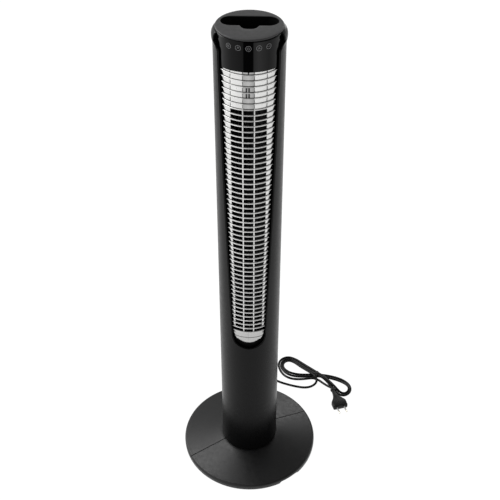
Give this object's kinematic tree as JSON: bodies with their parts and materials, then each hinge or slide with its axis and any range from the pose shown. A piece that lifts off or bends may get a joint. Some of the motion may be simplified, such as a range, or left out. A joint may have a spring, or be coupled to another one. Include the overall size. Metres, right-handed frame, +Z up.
{
  "type": "tower fan",
  "caption": "Slim round tower fan on a shallow disc base, with a tall finned air outlet, touch keys, a remote slot in its top, a swinging column and a wound mains lead.",
  "frame": {"origin": "centre of the base on the floor, on the column's axis", "axes": "+Z up; the air outlet faces -Y at the rest pose; the column turns about Z"},
  "size_m": [0.405, 0.4262, 1.08],
  "materials": {
    "base_satin": "satin black moulding with a fine texture",
    "shell_black": "satin black moulding",
    "cap_satin": "dark grey satin",
    "panel_gloss": "gloss black with printed keys",
    "grille_silver": "silver metallic paint",
    "smoked_lens": "smoked",
    "black_moulding": "matt black",
    "impeller_black": "matt black",
    "foot_rubber": "matt",
    "zinc_steel": "zinc plated",
    "black_screw": "blackened",
    "nylon": "natural nylon",
    "bearing_bronze": "sintered bronze",
    "copper_winding": "enamelled winding",
    "circuit_board": "solder mask",
    "terminal_white": "off-white",
    "cord_pvc": "smooth black sheath",
    "plug_pvc": "satin black",
    "tie_plastic": "flat tie",
    "nickel": "nickel plated",
    "pin_sleeve": "light grey"
  },
  "bodies": {
    "base": {"base_front_half": "base_satin", "base_rear_half": "base_satin", "base_feet": "foot_rubber", "base_clamp_plate": "zinc_steel", "base_screws": "zinc_steel", "base_lock_nut": "black_moulding", "swivel_spindle": "zinc_steel", "swivel_gear": "nylon", "swivel_retainer": "zinc_steel", "swivel_washer": "nylon", "inner_lead": "cord_pvc", "cord_strain_relief": "cord_pvc", "power_cord": "cord_pvc", "cord_hank": "cord_pvc", "cord_ties": "tie_plastic", "plug_body": "plug_pvc", "plug_pins": "nickel", "plug_pin_sleeves": "pin_sleeve"},
    "tower": {"front_shell": "shell_black", "rear_shell": "shell_black", "shell_screws": "black_screw", "top_collar": "shell_black", "bottom_plate": "black_moulding", "outlet_frame": "black_moulding", "outlet_grille": "grille_silver", "indicator_lens": "smoked_lens", "scroll_wall": "black_moulding", "vortex_wall": "black_moulding", "duct_floor": "black_moulding", "upper_bearing_bracket": "black_moulding", "upper_bearing": "bearing_bronze", "motor_bracket": "zinc_steel", "motor_grommets": "foot_rubber", "motor_screws": "zinc_steel", "motor_can": "zinc_steel", "motor_stator": "copper_winding", "head_frame": "black_moulding", "top_cap": "cap_satin", "remote_pocket": "black_moulding", "control_panel": "panel_gloss", "touch_circuit_board": "circuit_board", "touch_springs": "zinc_steel", "chassis_plate": "black_moulding", "main_circuit_board": "circuit_board", "terminal_block": "terminal_white", "run_capacitor": "terminal_white", "swing_motor": "zinc_steel", "swing_motor_bracket": "black_moulding", "swing_motor_screws": "zinc_steel"},
    "impeller": {"impeller_segments": "impeller_black", "impeller_end_disc": "impeller_black", "motor_shaft": "zinc_steel", "motor_rotor": "zinc_steel"},
    "drive_pinion": {"drive_pinion": "nylon"}
  },
  "joints": [
    {"name": "oscillation", "type": "hinge", "parent": "base", "child": "tower", "pos_m": [0, 0, 0.033], "axis": [0, 0, 1], "range_deg": [-6.6, 63.4]},
    {"name": "impeller_spin", "type": "hinge", "parent": "tower", "child": "impeller", "pos_m": [0, 0.004, 0.388], "axis": [0, 0, 1], "continuous": true},
    {"name": "pinion_spin", "type": "hinge", "parent": "tower", "child": "drive_pinion", "pos_m": [-0.02546, 0.02546, 0.046], "axis": [0, 0, 1], "range_deg": [-33, 317]}
  ],
  "couplings": [
    {"joint": "pinion_spin", "follows": "oscillation", "ratio": 5}
  ]
}
